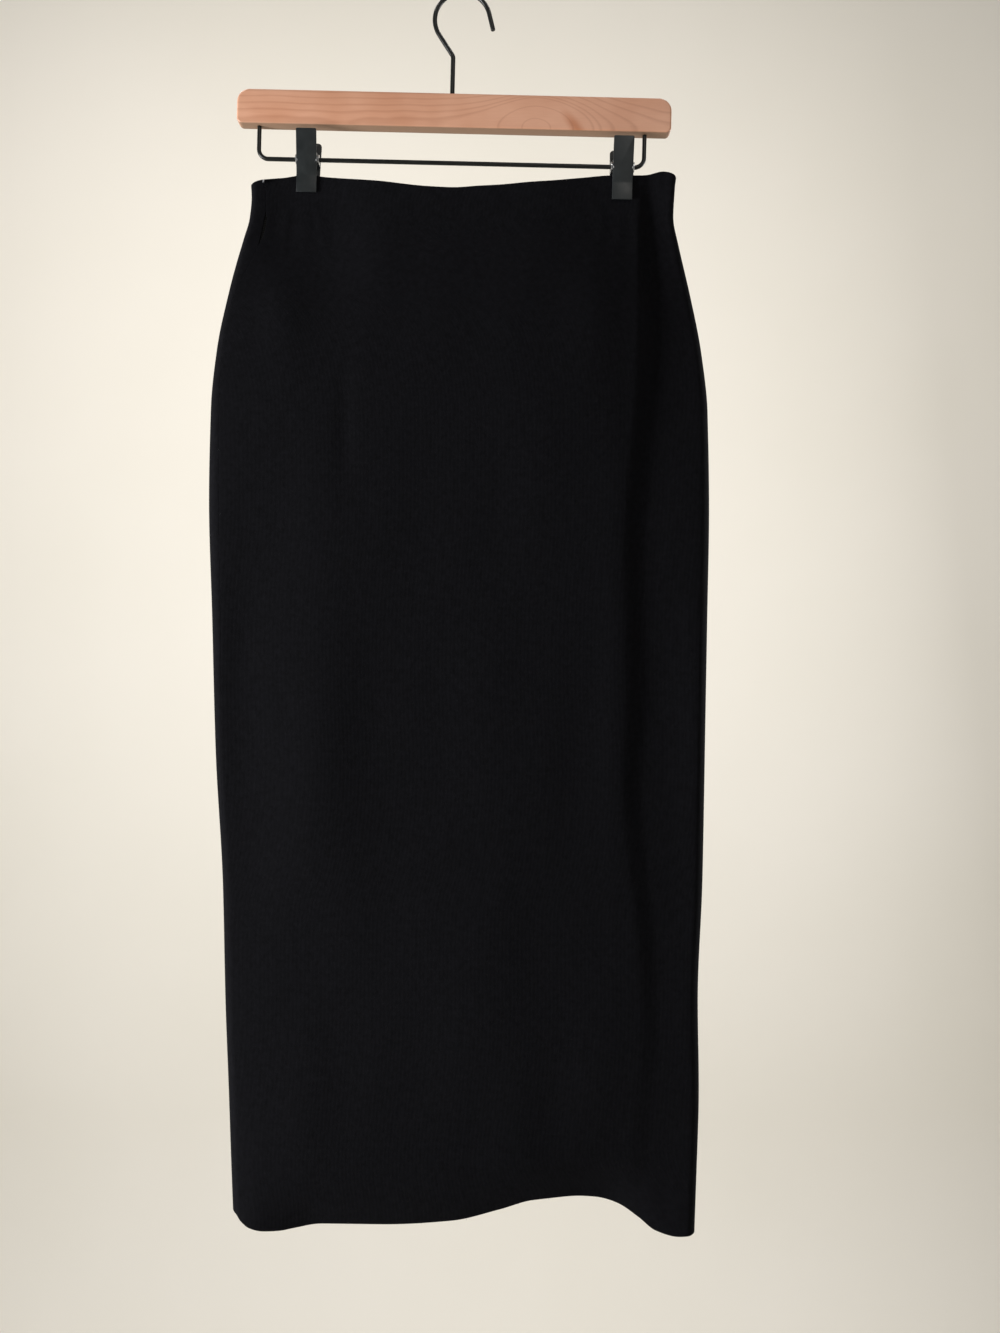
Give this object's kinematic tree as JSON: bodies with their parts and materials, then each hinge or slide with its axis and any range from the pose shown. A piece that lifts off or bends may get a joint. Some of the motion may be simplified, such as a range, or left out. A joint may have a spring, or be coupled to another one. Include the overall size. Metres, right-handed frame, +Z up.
{
  "type": "maxi skirt on a clip hanger",
  "caption": "Plain black high-waisted maxi skirt of thick smooth knit with a side zip, held by its waist in the clips of a wooden bar hanger with a wire hook.",
  "frame": {"origin": "inside top of the hanger's hook, in the middle of its wire, where the rail or nail that carries it touches", "axes": "+Z up along the hanging skirt, -Y out of the skirt's front, +X to the right of someone who faces the front"},
  "size_m": [0.4163, 0.0416, 1.0302],
  "materials": {
    "cloth": "thick smooth double knit, matt with a faint sheen",
    "zip": "woven zip tape",
    "slider": "satin grey metal",
    "wood": "pale varnished wood with a long straight grain",
    "wire": "black coated steel wire",
    "clip": "dark grey satin sheet metal",
    "spring": "bright spring steel"
  },
  "bodies": {
    "root": {"front_panel": "cloth", "back_panel": "cloth", "side_zip": "zip", "zip_slider": "slider", "hanger_bar": "wood", "hanger_hook": "wire", "wire_bar": "wire", "clip_left_front": "clip", "clip_left_back": "clip", "clip_left_spring": "spring", "clip_right_front": "clip", "clip_right_back": "clip", "clip_right_spring": "spring"}
  },
  "joints": []
}
